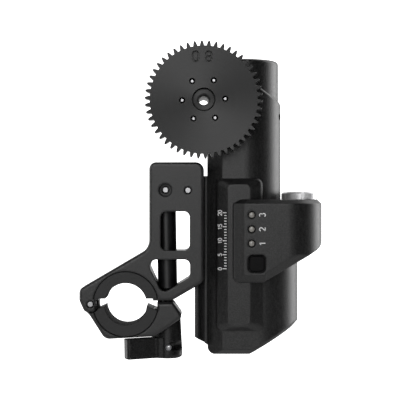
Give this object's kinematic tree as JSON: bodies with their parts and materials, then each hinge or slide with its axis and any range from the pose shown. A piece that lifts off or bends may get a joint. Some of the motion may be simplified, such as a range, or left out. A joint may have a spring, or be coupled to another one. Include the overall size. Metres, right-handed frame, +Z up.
{
  "type": "follow focus unit",
  "caption": "Lens drive motor with a toothed wheel on its drive head, a side pod with sockets and a button, and a rail bracket whose hinged jaws close on a rod.",
  "frame": {"origin": "centre of the rod bore, halfway through the clamp", "axes": "+Y along the rod, away from the side with the lens gear; +Z up along the motor, from the clamp towards the gear; +X from the clamp towards the motor's pod"},
  "size_m": [0.0874, 0.0365, 0.1132],
  "materials": {
    "black_anodised": "fine matt black anodised",
    "black_plastic": "matt black",
    "liner_plastic": "matt black jaw liner",
    "black_steel": "blackened",
    "bright_steel": "ground",
    "gear_brass": "machined",
    "winding": "copper winding",
    "silver_socket": "satin silver",
    "board_green": "circuit board",
    "lamp_lens": "smoked lens",
    "contact_gold": "gold plated"
  },
  "bodies": {
    "bracket": {"bracket_frame": "black_anodised", "upper_insert": "liner_plastic", "hinge_pin": "bright_steel", "pivot_pin": "bright_steel", "dowel_pin": "bright_steel", "friction_pad": "black_plastic"},
    "motor": {"main_shell": "black_anodised", "rear_cover": "black_anodised", "rear_cover_screws": "black_steel", "gear_case": "black_anodised", "gear_case_cover": "black_anodised", "gear_case_screws": "black_steel", "grub_screw": "black_steel", "rail": "black_anodised", "rail_screws": "black_steel", "gearhead": "bright_steel", "motor_can": "bright_steel", "stator": "winding", "end_bell": "black_plastic", "encoder_board": "board_green", "main_board": "board_green", "pod_shell": "black_anodised", "led_lenses": "lamp_lens", "tact_switch": "black_plastic", "control_board": "board_green", "socket_shells": "silver_socket", "socket_insulators": "black_plastic", "socket_contacts": "contact_gold", "hub_bearing": "bright_steel", "tail_bearing": "bright_steel", "cross_bearing_front": "bright_steel", "cross_bearing_rear": "bright_steel"},
    "drive_head": {"lens_gear": "black_anodised", "drive_pins": "bright_steel", "drive_hub": "black_anodised", "gear_screw": "black_steel", "output_gear": "gear_brass"},
    "cross_train": {"cross_shaft": "bright_steel", "spur_pinion": "bright_steel", "shaft_collar": "bright_steel", "bevel_wheel": "bright_steel"},
    "drive_shaft": {"output_shaft": "bright_steel", "bevel_pinion": "bright_steel"},
    "motor_rotor": {"rotor": "bright_steel", "encoder_magnet": "bright_steel"},
    "jaw": {"lower_jaw": "black_anodised", "lower_insert": "liner_plastic"},
    "bolt": {"draw_bolt": "black_steel"},
    "washer": {"barrel_washer": "black_steel"},
    "lever": {"lever_knob": "black_anodised", "clamp_nut": "gear_brass", "lever_pin": "bright_steel"},
    "button": {"button_cap": "black_plastic", "switch_plunger": "black_plastic"}
  },
  "joints": [
    {"name": "rail_slide", "type": "slide", "parent": "bracket", "child": "motor", "axis": [0, 0, 1], "range_m": [-0.006, 0.02]},
    {"name": "gear_spin", "type": "hinge", "parent": "motor", "child": "drive_head", "pos_m": [0.0278, 0, 0.0725], "axis": [0, 1, 0], "continuous": true},
    {"name": "cross_spin", "type": "hinge", "parent": "motor", "child": "cross_train", "pos_m": [0.0423, 0, 0.0725], "axis": [0, 1, 0], "continuous": true},
    {"name": "shaft_spin", "type": "hinge", "parent": "motor", "child": "drive_shaft", "pos_m": [0.0423, 0.01, 0.0725], "axis": [0, 0, 1], "continuous": true},
    {"name": "rotor_spin", "type": "hinge", "parent": "motor", "child": "motor_rotor", "pos_m": [0.0423, 0.01, 0], "axis": [0, 0, 1], "continuous": true},
    {"name": "jaw_swing", "type": "hinge", "parent": "bracket", "child": "jaw", "pos_m": [-0.0126, 0, 0], "axis": [0, 1, 0], "range_deg": [-1.07, 3.52]},
    {"name": "bolt_swing", "type": "hinge", "parent": "bracket", "child": "bolt", "pos_m": [0.01417, 0, 0.0407], "axis": [0, 1, 0], "range_deg": [-0.14, 0.45]},
    {"name": "washer_slide", "type": "slide", "parent": "bolt", "child": "washer", "axis": [0.0175, 0, -0.9998], "range_m": [-0.0005, 0.00167]},
    {"name": "lever_spin", "type": "hinge", "parent": "washer", "child": "lever", "pos_m": [0.01417, 0, 0.0407], "axis": [0.0175, 0, -0.9998], "range_deg": [-45.5, 150.5]},
    {"name": "button_press", "type": "slide", "parent": "motor", "child": "button", "axis": [0, 1, 0], "range_m": [0, 0.0003], "stiffness_N_per_m": 600}
  ],
  "couplings": [
    {"joint": "cross_spin", "follows": "gear_spin", "ratio": -1.9},
    {"joint": "shaft_spin", "follows": "gear_spin", "ratio": 1.9},
    {"joint": "rotor_spin", "follows": "gear_spin", "ratio": 7.6},
    {"joint": "lever_spin", "follows": "washer_slide", "rad_per_m": 1570.8},
    {"joint": "jaw_swing", "follows": "washer_slide", "rad_per_m": 36.6},
    {"joint": "bolt_swing", "follows": "washer_slide", "rad_per_m": 4.555}
  ]
}
